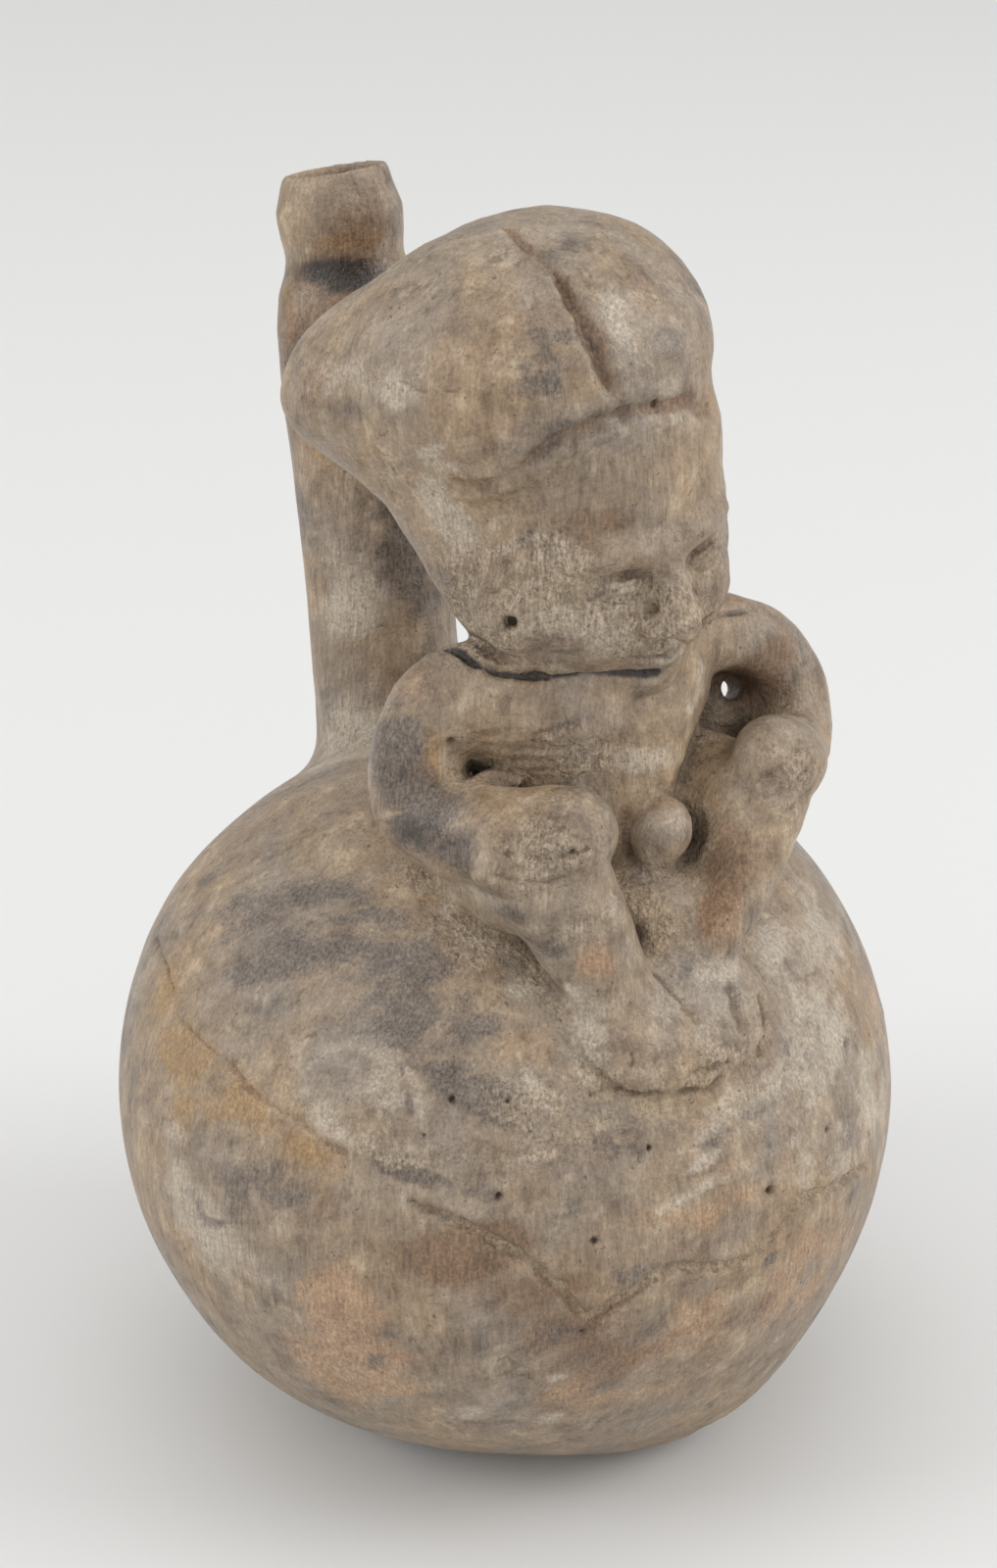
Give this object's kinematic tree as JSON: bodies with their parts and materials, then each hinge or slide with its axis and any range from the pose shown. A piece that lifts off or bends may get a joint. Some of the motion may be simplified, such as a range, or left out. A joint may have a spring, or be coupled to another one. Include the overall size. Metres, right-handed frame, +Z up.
{
  "type": "bridge-spout vessel",
  "caption": "Round clay bottle with a leaning tubular spout, joined by a flat strap bridge to a seated figure with a two-lobed headdress; holds and pours liquid.",
  "frame": {"origin": "centre of the flat underside", "axes": "+Z up; the seated figure faces -Y and the spout stands behind it at +Y; +X is the figure's left"},
  "size_m": [0.1398, 0.1398, 0.2277],
  "materials": {
    "vessel": "hand-burnished, smudge-fired earthenware, grey-brown with dark fire clouds"
  },
  "bodies": {
    "root": {"vessel": "vessel"}
  },
  "joints": []
}
